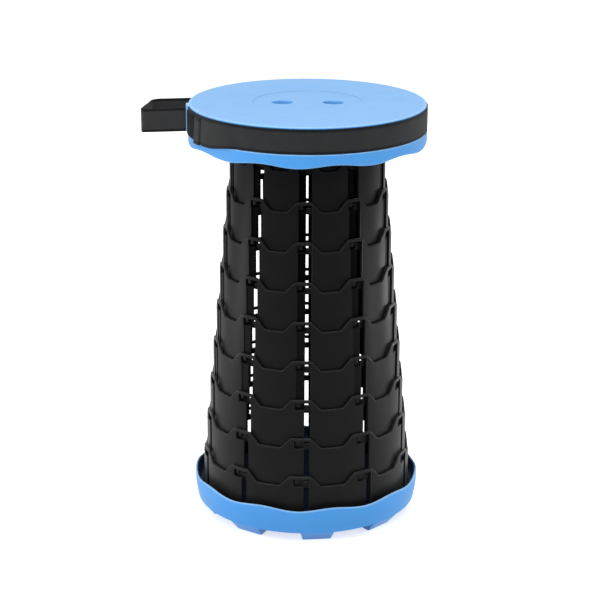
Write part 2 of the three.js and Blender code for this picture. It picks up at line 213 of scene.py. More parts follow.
# Node with its inputs, as above, and its settings
def addNode(tree, kind, inputs=None, **settings):
    node = tree.nodes.new(kind)
    for key, value in settings.items():
        setattr(node, key, value)
    setInputs(tree, node.inputs, inputs or {})
    return node


# Empty shader group with named sockets: numbers with a start value, or a vector where it is None
def newGroup(name, inputs, outputs):
    group = bpy.data.node_groups.new(name, "ShaderNodeTree")
    for label, start in inputs.items():
        kind = "NodeSocketVector" if start is None else "NodeSocketFloat"
        socket = group.interface.new_socket(label, in_out="INPUT", socket_type=kind)
        if start is not None:
            socket.default_value = start
    for label in outputs:
        group.interface.new_socket(label, in_out="OUTPUT", socket_type="NodeSocketFloat")
    return group, group.nodes.new("NodeGroupInput").outputs, group.nodes.new("NodeGroupOutput").inputs


# One sum, product or the like of two values
def calc(tree, operation, a, b=0.5, clamp=False):
    return addNode(tree, "ShaderNodeMath", {0: a, 1: b}, operation=operation, use_clamp=clamp).outputs[0]


# Product of two values
def times(tree, a, b, clamp=False):
    return calc(tree, "MULTIPLY", a, b, clamp)


# Colour between a and b, at b where the factor is 1
def mixColor(tree, factor, a, b):
    return addNode(tree, "ShaderNodeMix", {0: factor, 6: a, 7: b}, data_type="RGBA").outputs[2]


# Number between a and b, at b where the factor is 1
def mixValue(tree, factor, a, b):
    return addNode(tree, "ShaderNodeMix", {0: factor, 2: a, 3: b}, data_type="FLOAT").outputs[0]


# Value carried evenly from one range to another and held at its ends
def spread(tree, value, low, high, toLow=0.0, toHigh=1.0):
    return addNode(tree, "ShaderNodeMapRange", {
        "Value": value, "From Min": low, "From Max": high, "To Min": toLow, "To Max": toHigh}).outputs[0]


# Noise in the object's own coordinates
def noise(tree, scale, detail, roughness=0.5):
    place = addNode(tree, "ShaderNodeTexCoord").outputs["Object"]
    return addNode(tree, "ShaderNodeTexNoise", {
        "Vector": place, "Scale": scale, "Detail": detail, "Roughness": roughness}).outputs[0]


# Normal bent by a height over a distance in metres
def bumped(tree, height, distance, strength=1.0):
    return addNode(tree, "ShaderNodeBump", {
        "Height": height, "Distance": distance, "Strength": strength}).outputs[0]


# Moulded skin: fine noise for the height, slow noise for drifts of tone and polish
def buildMouldGrain():
    group, given, out = newGroup("mouldGrain", {
        "Grain Scale": 900.0, "Drift Scale": 14.0, "Base Roughness": 0.4, "Roughness Drift": 0.06,
    }, ["Height", "Tone", "Roughness"])
    slow = noise(group, given["Drift Scale"], 3.0, 0.55)
    drift = times(group, calc(group, "SUBTRACT", slow, 0.5), given["Roughness Drift"])
    setInputs(group, out, {
        "Height": noise(group, given["Grain Scale"], 3.0, 0.6), "Tone": slow,
        "Roughness": calc(group, "ADD", given["Base Roughness"], drift, True)})
    return group


# Edges with a painted highlight and wear: the mesh's own rim value, broken up by a noise, as a mask
def buildEdgeHighlightWear():
    group, given, out = newGroup("edgeHighlightWear", {"Rim": 0.0, "Break Scale": 160.0, "Amount": 0.7}, ["Mask"])
    broken = spread(group, noise(group, given["Break Scale"], 2.0), 0.3, 0.6, 0.65, 1.0)
    worn = times(group, given["Rim"], broken)
    setInputs(group, out, {"Mask": times(group, worn, given["Amount"], True)})
    return group


# Dust on what faces up: the normal's upward share times a patchy noise
def buildSettledDust():
    group, given, out = newGroup("settledDust", {"Amount": 0.05, "Patch Scale": 60.0}, ["Mask"])
    normal = addNode(group, "ShaderNodeNewGeometry").outputs["Normal"]
    upward = spread(group, addNode(group, "ShaderNodeSeparateXYZ", {0: normal}).outputs["Z"], 0.3, 1.0)
    patchy = spread(group, noise(group, given["Patch Scale"], 4.0), 0.0, 1.0, 0.6, 0.9)
    both = times(group, upward, patchy)
    setInputs(group, out, {"Mask": times(group, both, given["Amount"], True)})
    return group


# Flat-woven webbing along the run UV in metres: a twill of crossing ribs, and painted shade at its edges
def buildWebbingWeave():
    group, given, out = newGroup("webbingWeave", {
        "Run": None, "Rib Pitch": 0.0021, "Yarn Pitch": 0.0012, "Half Width": 0.0125,
    }, ["Height", "Shade", "Edge Shade"])
    run = addNode(group, "ShaderNodeSeparateXYZ", {0: given["Run"]}).outputs
    across = calc(group, "DIVIDE", run["Y"], given["Yarn Pitch"])
    along = calc(group, "DIVIDE", run["X"], given["Rib Pitch"])
    turned = calc(group, "PINGPONG", calc(group, "FLOOR", across), 1.0)
    shifted = calc(group, "ADD", along, times(group, turned, 0.5))
    rib = calc(group, "POWER", times(group, calc(group, "PINGPONG", shifted, 0.5), 2.0), 0.6)
    yarn = calc(group, "POWER", times(group, calc(group, "PINGPONG", across, 0.5), 2.0), 0.5)
    body = times(group, rib, yarn)
    fuzz = times(group, noise(group, 2600.0, 2.0), 0.35)
    drift = times(group, noise(group, 70.0, 4.0), 0.45)
    fromEdge = calc(group, "SUBTRACT", given["Half Width"], calc(group, "ABSOLUTE", run["Y"]))
    setInputs(group, out, {
        "Height": calc(group, "ADD", body, fuzz),
        "Shade": calc(group, "ADD", times(group, body, 0.55), drift),
        "Edge Shade": spread(group, fromEdge, 0.0022, 0.0034, 1.0, 0.0)})
    return group


grainGroup, highlightWearGroup = buildMouldGrain(), buildEdgeHighlightWear()
dustGroup, weaveGroup = buildSettledDust(), buildWebbingWeave()


# Places one of the groups in a material, with that material's own values
def useGroup(tree, group, inputs):
    return addNode(tree, "ShaderNodeGroup", inputs, node_tree=group).outputs


# The mesh's own value of that name at each point
def readValue(tree, name):
    return addNode(tree, "ShaderNodeAttribute", attribute_name=name).outputs["Fac"]


# Node material with a Principled shader whose plain numbers come from the settings
def newMaterial(name, settings):
    material = bpy.data.materials.new(name)
    material.use_nodes = True
    shader = material.node_tree.nodes["Principled BSDF"].inputs
    setInputs(material.node_tree, shader, settings)
    return material, material.node_tree, shader


# The rim colour is a painted highlight, and the navy is painted shade
bluePlastic = {
    "color": (0.072, 0.36, 0.84, 1), "deep": (0.056, 0.31, 0.78, 1), "rim": (0.25, 0.55, 0.92, 1),
    "recess": (0.003, 0.005, 0.03, 1), "film": (0.62, 0.77, 0.82, 1),
    "shine": {"Specular IOR Level": 0.45, "IOR": 1.49},
    "skin": {"Grain Scale": 1400.0, "Drift Scale": 9.0, "Base Roughness": 0.42, "Roughness Drift": 0.1},
    "dust": {"Amount": 0.4, "Patch Scale": 45.0}, "dustDull": 1.5,
    "highlightWear": 0.8, "grain": 0.00002, "grainStrength": 0.6,
}


# Moulded blue: two blues by slow noise, a painted highlight at rims, a film of dust on level faces, and
# navy painted shade inside the tray and along the dish's edge
def makeBlue():
    look = bluePlastic
    material, tree, shader = newMaterial("skyBlueSatin", look["shine"])
    grain = useGroup(tree, grainGroup, look["skin"])
    highlightWear = useGroup(tree, highlightWearGroup, {"Rim": readValue(tree, "rim"), "Amount": look["highlightWear"]})
    dust = useGroup(tree, dustGroup, look["dust"])
    tone = mixColor(tree, grain["Tone"], look["deep"], look["color"])
    edged = mixColor(tree, highlightWear["Mask"], tone, look["rim"])
    dusty = mixColor(tree, dust["Mask"], edged, look["film"])
    dull = times(tree, dust["Mask"], look["dustDull"])
    setInputs(tree, shader, {
        "Base Color": mixColor(tree, readValue(tree, "recess"), dusty, look["recess"]),
        "Roughness": calc(tree, "ADD", grain["Roughness"], dull, True),
        "Normal": bumped(tree, grain["Height"], look["grain"], look["grainStrength"])})
    return material


# The rim colour is a painted highlight, and the recess colour painted shade in the channels
blackPlastic = {
    "color": (0.0045, 0.0045, 0.0048, 1), "pale": (0.0068, 0.0068, 0.0072, 1),
    "rim": (0.016, 0.016, 0.0165, 1), "recess": (0.0012, 0.0012, 0.0013, 1), "film": (0.4, 0.4, 0.4, 1),
    "skin": {"Grain Scale": 1600.0, "Drift Scale": 22.0, "Base Roughness": 0.38, "Roughness Drift": 0.12},
    "dust": 0.03, "highlightWear": 0.8, "highlightWearScale": 120.0, "wearPolish": 0.08, "recessDull": 0.4,
    # Gloss and sheen from the first ring to the last: painted shade on the upper rings, painted light on the
    # lower
    "shine": {"IOR": 1.5, "Sheen Roughness": 0.45}, "glossShadedToLit": (0.042, 0.125), "sheenShadedToLit": (0.015, 0.08),
    "grain": 0.00002, "grainStrength": 0.6,
}


# Moulded black: near-black by slow noise, a painted highlight on rims, and gloss and sheen growing evenly
# from the first ring to the last, as painted shade on the upper rings and painted light on the lower ones.
# The sunk channels get painted shade: darker, and metallic there, because a black metal has no plain
# reflection
def makeBlack(number):
    look, share = blackPlastic, (number - 1) / (stool["ringCount"] - 1)
    glossShadedToLit, sheenShadedToLit = (top + (foot - top) * share for top, foot in (look["glossShadedToLit"], look["sheenShadedToLit"]))
    material, tree, shader = newMaterial(f"ringBlack{number:02d}", {
        **look["shine"], "Specular IOR Level": glossShadedToLit, "Sheen Weight": sheenShadedToLit})
    recess = readValue(tree, "recess")
    grain = useGroup(tree, grainGroup, look["skin"])
    highlightWear = useGroup(tree, highlightWearGroup, {
        "Rim": readValue(tree, "rim"), "Amount": look["highlightWear"], "Break Scale": look["highlightWearScale"]})
    dust = useGroup(tree, dustGroup, {"Amount": look["dust"]})
    tone = mixColor(tree, grain["Tone"], look["color"], look["pale"])
    sunk = mixColor(tree, recess, tone, look["recess"])
    edged = mixColor(tree, highlightWear["Mask"], sunk, look["rim"])
    polish = times(tree, highlightWear["Mask"], look["wearPolish"])
    worn = calc(tree, "SUBTRACT", grain["Roughness"], polish, True)
    dull = times(tree, recess, look["recessDull"])
    setInputs(tree, shader, {
        "Base Color": mixColor(tree, dust["Mask"], edged, look["film"]), "Metallic": recess,
        "Roughness": calc(tree, "ADD", worn, dull, True),
        "Normal": bumped(tree, grain["Height"], look["grain"], look["grainStrength"])})
    return material


# Sizes of all the webbing, and yarn colour, gap colour and sheen of each of its places
webbing = {
    "thickness": 1.4, "width": 25.0, "innerRound": 0.5, "outerRound": 0.55,
    "shine": {"Specular IOR Level": 0.15, "Sheen Roughness": 0.6}, "bump": 0.00022, "bumpStrength": 0.8,
    # The selvedge colour is near-black painted shade along the edges
    "edgeShade": (0.002, 0.0025, 0.004, 1), "edgeShadeShare": 0.92, "gapRoughness": 0.95, "yarnRoughness": 0.78,
    "strap": ((0.031, 0.034, 0.035, 1), (0.013, 0.0145, 0.015, 1), 0.08),
    # The fold's yarn and gap are the strap's darkened, with little sheen, as painted shade
    "fold": ((0.0065, 0.0065, 0.0095, 1), (0.003, 0.003, 0.0045, 1), 0.01),
    # The loop's yarn and gap are the strap's made paler, as painted light
    "loop": ((0.044, 0.044, 0.044, 1), (0.02, 0.02, 0.02, 1), 0.08),
}


# Woven cloth: yarn over gap colour by the weave's shade, near-black painted shade at the edges, the weave as
# bump
def makeWebbing(place):
    yarn, gap, sheen = webbing[place]
    material, tree, shader = newMaterial(f"{place}Webbing", {**webbing["shine"], "Sheen Weight": sheen})
    weave = useGroup(tree, weaveGroup, {"Run": addNode(tree, "ShaderNodeUVMap", uv_map="run").outputs[0]})
    cloth = mixColor(tree, weave["Shade"], gap, yarn)
    edge = times(tree, weave["Edge Shade"], webbing["edgeShadeShare"])
    setInputs(tree, shader, {
        "Base Color": mixColor(tree, edge, cloth, webbing["edgeShade"]),
        "Roughness": mixValue(tree, weave["Shade"], webbing["gapRoughness"], webbing["yarnRoughness"]),
        "Normal": bumped(tree, weave["Height"], webbing["bump"], webbing["bumpStrength"])})
    return material


smallParts = {
    "sewingThread": {
        "shine": {"Specular IOR Level": 0.4},
        "dark": (0.008, 0.009, 0.01, 1), "pale": (0.03, 0.031, 0.033, 1),
        "skin": {"Grain Scale": 3000.0, "Drift Scale": 90.0, "Base Roughness": 0.6}, "bump": 0},
    "zincSteel": {
        "shine": {"Metallic": 1.0}, "dark": (0.42, 0.44, 0.46, 1), "pale": (0.62, 0.63, 0.64, 1),
        "skin": {"Grain Scale": 1800.0, "Drift Scale": 120.0, "Base Roughness": 0.32}, "bump": 0.00003},
}


# Thread or steel: two tones by slow noise, and a fine grain as bump where it has one
def makeSmall(name):
    look = smallParts[name]
    material, tree, shader = newMaterial(name, look["shine"])
    grain = useGroup(tree, grainGroup, look["skin"])
    setInputs(tree, shader, {
        "Base Color": mixColor(tree, grain["Tone"], look["dark"], look["pale"]),
        "Roughness": grain["Roughness"]})
    if look["bump"]:
        setInputs(tree, shader, {"Normal": bumped(tree, grain["Height"], look["bump"])})
    return material


blueSkin = makeBlue()
# The fold's cloth is the strap's webbing with painted shade, the loop's with painted light
strapCloth, shadedFoldCloth, litLoopCloth = (makeWebbing(place) for place in ("strap", "fold", "loop"))
threadSkin, steelSkin = makeSmall("sewingThread"), makeSmall("zincSteel")
print("materials made")


ring = {
    "peakShare": 0.46, "peakAngle": -2.75, "slopeRun": 10.6, "depth": 11.2, "cornerReach": 1.6,
    "slotHalf": 3.0, "slotPhase": 0.65, "slotFoot": 6.5, "slotStep": 0.3,
    "lockAngle": 4.8, "pocketLow": 43.7, "pocketTop": 51.7, "pocketPlay": 1.3,
    "lugHalf": 2.0, "lugLow": 5.4, "lugHigh": 10.0, "lugBite": 0.9, "lugRoot": 1.3, "lugRound": 0.55,
    # The lugs' rim value is a painted highlight
    "lugHighlight": 0.35,
    # channelShade is painted shade in each ring's channels, from the first ring to the last
    "channelDepth": 0.8, "channelShade": (0, 1, 1, 0.9, 0.7, 0.5, 0.5, 0, 0, 0),
    "channelFoot": 2.0, "channelPlay": 0.6, "channelStep": 0.25,
    "grooveDepth": 1.2, "grooveHalf": 2.5, "grooveStep": 0.1,
    "tab": {"half": 5.5, "run": (62.5, 74.5), "height": (436.1, 439.1), "corner": 0.5},
    "rows": (16, 26, 34), "rowStep": 0.3, "stretchFrom": 40.0, "columnGap": 2.8,
    "rimRound": 0.9, "footRound": 0.5, "softEdge": 0.3, "near": 0.05, "finePoints": 6001,
    "cornerPoints": 4, "crestPoints": 9, "solePoints": 5,
}


# Outer radius: the lowest ring's, less one radial step for each ring above it
def ringRadius(number):
    return stool["lowestRadius"] - (stool["ringCount"] - number) * stool["radialStep"]


# Height of the lower edge: the lowest ring's, and one stage step for each ring above it
def ringBottom(number):
    return stool["lowestBottom"] + (stool["ringCount"] - number) * stool["stageStep"]


# Turn about the axis: even steps, nought half way up the stack
def ringTurn(number):
    return ((stool["ringCount"] + 1) / 2 - number) * stool["twist"] * degree


# Sorted marks with evenly spaced extras wherever two lie further apart than the gap
def fillGaps(marks, gap):
    marks = np.unique(np.round(marks, 4))
    counts = np.maximum(1, np.ceil(np.diff(marks) / gap)).astype(int)
    steps = np.repeat(np.diff(marks) / counts, counts)
    number = np.arange(counts.sum()) - np.repeat(np.cumsum(counts) - counts, counts)
    return np.repeat(marks[:-1], counts) + steps * number


# Upper edge along the arc: a trapezoid wave averaged over a short reach, which rounds its corners
def crenelHeight(arc, marks, panel):
    start, end, low, lowEnd = marks
    fine = np.linspace(-panel, 2 * panel, ring["finePoints"])
    local = np.mod(fine - start, panel)
    edge = np.interp(local, [0, end - start, low - start, lowEnd - start, panel],
                     [0, 0, -ring["depth"], -ring["depth"], 0])
    total = np.concatenate([[0], np.cumsum((edge[1:] + edge[:-1]) / 2 * np.diff(fine))])
    reach = ring["cornerReach"]
    gained = np.interp(arc + reach, fine, total) - np.interp(arc - reach, fine, total)
    return stool["ringHeight"] + gained / (2 * reach)


# Wall as a closed section carried round: outer face, rounded rim, inner face and rounded foot. Slots and
# pockets are cells left out of both faces, with walls between the faces along their edges
def ringShell(number):
    radius, plain = ringRadius(number), number == 1
    panel = 2 * math.pi * radius / stool["sectors"]
    peak = radius * ring["peakAngle"] * degree
    half = (panel - 2 * ring["slopeRun"]) * ring["peakShare"] / 2
    marks = (peak - half, peak + half, peak + half + ring["slopeRun"], peak - half + panel - ring["slopeRun"])
    guest = -radius * ring["lockAngle"] * degree
    slotMiddle = radius * ring["slotPhase"] * degree
    slotLeft, slotRight = slotMiddle - ring["slotHalf"], slotMiddle + ring["slotHalf"]
    pocketLeft = guest - ring["lugHalf"] - ring["pocketPlay"]
    channelLeft = pocketLeft + ring["channelPlay"]
    channelInner = channelLeft + ring["channelStep"]
    grooveSides = guest + ring["grooveHalf"] * np.array([-1, 1])
    corner = np.linspace(-ring["cornerReach"], ring["cornerReach"], ring["cornerPoints"])
    edges = np.concatenate([
        (np.array(marks)[:, None] + corner).ravel(),
        [slotLeft, slotLeft + ring["slotStep"], slotRight, pocketLeft, channelLeft, channelInner],
        grooveSides - ring["grooveStep"], grooveSides + ring["grooveStep"]])
    first = marks[0] - ring["cornerReach"]
    local = np.mod(edges - first, panel)
    columns = fillGaps(np.concatenate([local, [0, panel]]), ring["columnGap"]) + first
    arcs = (columns[None, :] + panel * np.arange(stool["sectors"])[:, None]).ravel()
    sector = np.tile(np.where(columns > panel / 2, columns - panel, columns), stool["sectors"])
    count = len(arcs)

    rim, foot, stretchFrom = ring["rimRound"], ring["footRound"], ring["stretchFrom"]
    channelLow, grooveLow = ring["channelFoot"] + ring["rowStep"], ring["lugLow"] - ring["rowStep"]
    heights = np.array([
        foot, ring["channelFoot"], channelLow, grooveLow, ring["slotFoot"], *ring["rows"],
        stretchFrom, ring["pocketLow"], ring["pocketTop"], stool["ringHeight"] - rim])
    top = crenelHeight(np.tile(columns, stool["sectors"]), marks, panel)
    if plain:
        top = np.full(count, stool["ringHeight"])
    growth = (top[:, None] - rim - stretchFrom) / (stool["ringHeight"] - rim - stretchFrom)
    level = np.where(heights > stretchFrom, stretchFrom + (heights - stretchFrom) * growth, heights)

    shade, near = ring["channelShade"][number - 1], ring["near"]
    inChannel = between(sector, channelInner - near, slotLeft + near) & (shade > 0)
    channel = inChannel[:, None] & between(heights, channelLow - near, ring["pocketLow"] + near)
    inGroove = between(sector, grooveSides[0] + near, grooveSides[1] - near) & (not plain)
    groove = inGroove[:, None] & between(heights, grooveLow - near, ring["pocketLow"] + near)
    outer = radius - ring["channelDepth"] * channel
    inner = radius - stool["wall"] + ring["grooveDepth"] * groove

    crest, sole = (np.linspace(0, math.pi, ring[key])[1:-1] for key in ("crestPoints", "solePoints"))
    middle, halfWall = radius - stool["wall"] / 2, stool["wall"] / 2
    crestRadius = middle + (halfWall - rim) * np.sign(np.cos(crest)) + rim * np.cos(crest)
    crestHeight = top[:, None] - rim + rim * np.sin(crest)
    soleRadius = middle - (halfWall - foot) * np.sign(np.cos(sole)) - foot * np.cos(sole)
    soleHeight = np.full((count, 1), foot) - foot * np.sin(sole)
    r = np.concatenate([
        outer, np.tile(crestRadius, (count, 1)), inner[:, ::-1], np.tile(soleRadius, (count, 1))], axis=1)
    z = np.concatenate([level, crestHeight, level[:, ::-1], soleHeight], axis=1)
    rows, high, over = r.shape[1], len(heights), len(crest)
    angle = arcs / radius + ringTurn(number)
    points = polar(r, angle[:, None], z + ringBottom(number)).reshape(-1, 3)

    # Cells whose middles lie between two arcs and between two heights, but for a sliver at the right end
    def cells(left, right, low, high):
        arc = sector + np.mod(np.roll(arcs, -1) - arcs, panel) / 2
        middles = (heights[:-1] + heights[1:]) / 2
        return between(arc, left, right - near)[:, None] & between(middles, low, high)

    # Quads through the wall, from the line (i, j) to (k, l) on the outer face to its like on the inner one
    def through(i, j, k, l):
        start, end, last = (i % count) * rows, (k % count) * rows, 2 * high + over - 1
        return np.stack([start + j, end + l, end + last - l, start + last - j], axis=-1)

    void = cells(slotLeft, slotRight, ring["slotFoot"], ring["pocketLow"] if plain else ring["pocketTop"])
    if not plain:
        void |= cells(pocketLeft, slotRight, ring["pocketLow"], ring["pocketTop"])
    solid = np.ones((count, rows), bool)
    solid[:, :high - 1] = ~void
    solid[:, high + over:high + over + high - 1] = ~void[:, ::-1]
    quads = gridFaces(count, rows, True, True)[solid.ravel()]
    i, j = np.nonzero(void != np.roll(void, 1, axis=0))
    upright = through(i, j, i, j + 1)
    padded = np.pad(void, ((0, 0), (1, 1)))
    i, j = np.nonzero(padded[:, 1:] != padded[:, :-1])
    walls = np.concatenate([upright, through(i, j, i + 1, j)])
    # Painted highlight on the rounded rim's rows, painted shade in the channels beside the slots
    crestHighlight, recess = np.zeros((2, count, rows))
    crestHighlight[:, high - 1:high + over + 1] = 1
    recess[:, :high] = channel * shade
    return points, np.concatenate([quads, walls]), crestHighlight.ravel(), recess.ravel(), walls[:, :2]


# Ten rounded blocks on the outer face, each turned to its own seam
def ringLugs(number):
    radius, bottom = ringRadius(number), ringBottom(number)
    run = (radius - ring["lugRoot"], radius + stool["radialStep"] - stool["wall"] + ring["lugBite"])
    height = (bottom + ring["lugLow"], bottom + ring["lugHigh"])
    first = ringTurn(number) - ring["lockAngle"] * degree
    return [roundedBlock(ring["lugHalf"], run, height, ring["lugRound"], first + angle)
            for angle in fullTurn(stool["sectors"])]


# Inward tabs of the smallest ring, one under each of the seat's bosses
def screwTabs():
    return [roundedBlock(angle=angle, **ring["tab"]) for angle in fullTurn(screw["count"])]


for number in range(1, stool["ringCount"] + 1):
    points, quads, crestHighlight, recess, softEdges = ringShell(number)
    parts = [(points, quads)]
    if number < stool["ringCount"]:
        parts += ringLugs(number)
    if number == 1:
        parts += screwTabs()
    extra = sum(len(p) for p, _ in parts[1:])
    body = "seat" if number == 1 else "base" if number == stool["ringCount"] else f"stage_{number:02d}"
    # The rim values paint highlights, the other values painted shade
    makePiece(
        f"tubeRing{number:02d}", parts, body, [f"ring_{number:02d}"], makeBlack(number),
        values={"rim": np.append(crestHighlight, np.full(extra, ring["lugHighlight"])), "recess": recess},
        bevelEdges=softEdges, bevel=ring["softEdge"])
print("rings made")


tray = {
    "outline": [
        [0, 15.2, 0], [116.2, 15.2, 1], [116.2, 12.2, 0.4], [119.2, 12.2, 0.5], [120.6, 20, 5],
        [121.9, 28, 6], [121.9, 37.8, 1.45], [118.9, 37.8, 1.45], [118.9, 28, 4], [116.25, 24, 0.6],
        [113.59, 24, 0.5], [113.59, 18.2, 0.4], [0, 18.2, 0]],
    "waveFrom": 28.0, "waveFull": 36.2, "columns": 240,
    "footAngle": 6.0, "footCount": 9, "footHalf": 15.5, "footSpread": 1.2, "footTop": 16.5,
    "footHeight": 12.2, "footInner": 82.5, "footTip": 108.5, "footHem": 119.05, "footWithin": 118.4,
    "footRows": (0, 0, 0.25, 1.0, 4, 7, 12.2, 16.5), "footShrink": (1, 0.06, 0.02, 0, 0, 0, 0, 0),
    "footPlan": [[-1, 0, 0.16], [1, 0, 0.16], [1, 1, 0.1], [-1, 1, 0.1]],
    "rib": {"half": 1.2, "run": (21, 82), "height": (10, 16.6), "corner": 0.4},
    "hub": [[19.6, 10, 0.5], [22, 10, 0.5], [22, 16.6, 0.3], [19.6, 16.6, 0.3]], "hubColumns": 64,
    "clip": [[112.7, 21.7, 0.5], [114.4, 21.7, 0.2], [114.4, 23.8, 0.2], [112.7, 23.8, 0.5]],
    "clipCount": 5, "clipAngle": 33, "clipHalf": 4.5, "clipColumns": 9,
    # The inside gets navy painted shade, and the rim a painted highlight
    "insideHeight": (17, 37.2), "insideRadius": 119.5, "crestHeight": 36, "crestRadius": 120.42,
    "insideShade": 0.93, "rimRun": (36.3, 36.9), "rimHighlight": 0.65,
}


# Rounded rectangle in plan, stacked from the floor up, whose outer side follows the bowl's slant
def footBlock(angle):
    up, shrink = np.array(tray["footRows"]), np.array(tray["footShrink"])[:, None]
    wide = 1 + (tray["footSpread"] - 1) * ramp(up, 0, tray["footHeight"])[:, None]
    reach = np.interp(up, [0, tray["footHeight"], tray["footTop"]],
                      [tray["footTip"], tray["footHem"], tray["footWithin"]])[:, None]
    flat = roundCorners(tray["footPlan"], 6)
    side = flat[None, :, 0] * tray["footHalf"] * wide * (1 - shrink)
    out = tray["footInner"] + flat[None, :, 1] * (reach - tray["footInner"])
    out += ((tray["footInner"] + reach) / 2 - out) * shrink
    return sheet(polar(out, angle + side / reach, up[:, None]), wrapRows=True)


# Bowl as a closed section carried round with its rim on the waves; feet, ribs, hub and clips joined on
def makeTray():
    profile, angles = roundCorners(tray["outline"], 6), fullTurn(tray["columns"])
    radius, height = profile.T
    share = ramp(height, tray["waveFrom"], tray["waveFull"])
    parts = [revolve(profile, angles, wave(angles)[:, None] * share)]
    for angle in fullTurn(tray["footCount"]) + tray["footAngle"] * degree:
        parts += [footBlock(angle), roundedBlock(angle=angle, **tray["rib"])]
    parts.append(revolve(roundCorners(tray["hub"], 4), fullTurn(tray["hubColumns"])))
    for middle in tray["clipAngle"] + np.arange(tray["clipCount"]) * 360 / tray["clipCount"]:
        ends = middle - tray["clipHalf"], middle + tray["clipHalf"]
        parts.append(arcTube(roundCorners(tray["clip"], 4), *ends, tray["clipColumns"]))
    # Navy painted shade over the bowl's inside and a painted highlight along its rim
    inside = between(height, *tray["insideHeight"]) & (radius < tray["insideRadius"])
    inside |= (height > tray["crestHeight"]) & (radius < tray["crestRadius"])
    makePiece("baseTrayShell", parts, "base", ["base_tray"], blueSkin, values={
        "rim": np.tile(ramp(height, *tray["rimRun"]) * tray["rimHighlight"], tray["columns"]),
        "recess": np.tile(inside * tray["insideShade"], tray["columns"])})


makeTray()
print("tray made")


seat = {
    "dishFoot": 56.7, "dishDepth": 0.8, "dishShade": 0.3, "columns": 288,
    "dishEdge": [[58.1, 449.4], [57.7, 449.32], [57.3, 449.0], [56.95, 448.66], [56.7, 448.6]],
    "topOutline": [
        [60, 446.4, 0], [120.3, 446.4, 2], [120.3, 418.1, 1], [122.6, 414.1, 1], [122.6, 407.4, 0.9],
        [125, 407.4, 0.9], [125, 409.2, 0], [125, 420.4, 0], [125, 421.85, 0.9], [123.3, 421.85, 0.2],
        [123.3, 447.45, 0.2], [124, 447.45, 0.3], [124, 448.6, 1.1], [122.2, 449.4, 1.6], [58.4, 449.4, 0.3]],
    "waveFrom": 414.0, "waveFull": 409.0,
    "browHeight": (447.9, 448.7), "browRadius": (120.5, 122.0), "hemHeight": (408.4, 407.8),
    "lipHeight": (420.7, 422.1), "lipRadius": 124.2, "dishRim": 0.6, "dishRimAt": (448.62, 57.95),
    "dishLine": (56.9, 57.4), "dishLineAbove": 448.0,
    # The finger holes' walls and the strap bridge get painted light
    "holeHalf": (10.75, 9.25), "holeMiddle": 26.5, "holeRound": 1.3, "holeLight": 0.6,
    "holeLightRows": (4, 8, 11, 12), "bridgeHighlight": 1.2, "seamPoints": 24,
    "sleeveWall": 2.0, "sleeveFoot": 434.4, "sleeveRound": 0.5, "sleeveMiddle": 441,
    "ribCount": 5, "rib": {"half": 1.2, "run": (41.5, 73.5), "height": (440.4, 446.9), "corner": 0.3},
    "boss": [[2.1, 439.4, 0.2], [4.5, 439.4, 0.4], [4.5, 446.9, 0], [2.1, 446.9, 0]], "bossColumns": 24,
}


# Half disc with an oval hole: each rim point is drawn in towards the hole along its own direction. rows
# gives (share of the way in, growth of the oval, height)
def halfDish(side, arcAngles, rows):
    middle = seat["holeMiddle"]
    arc = polar(seat["dishFoot"], arcAngles, 0)[:, :2]
    straight = np.linspace(arc[-1, 1], arc[0, 1], seat["seamPoints"])[1:-1]
    outline = np.concatenate([arc, stacked(0, straight)])
    bearing = np.arctan2(outline[:, 1], outline[:, 0] - middle)
    a, b = seat["holeHalf"]
    size = 1 / np.sqrt((np.cos(bearing) / a) ** 2 + (np.sin(bearing) / b) ** 2)
    far = np.linalg.norm(outline - [middle, 0], axis=1)
    share, grow, height = np.array(rows, float).T
    reach = (size[:, None] + grow) * (1 - share) + far[:, None] * share
    x, y = np.cos(bearing)[:, None] * reach + middle, np.sin(bearing)[:, None] * reach
    return sheet(stacked(side * x, y, height), wrapColumns=True)


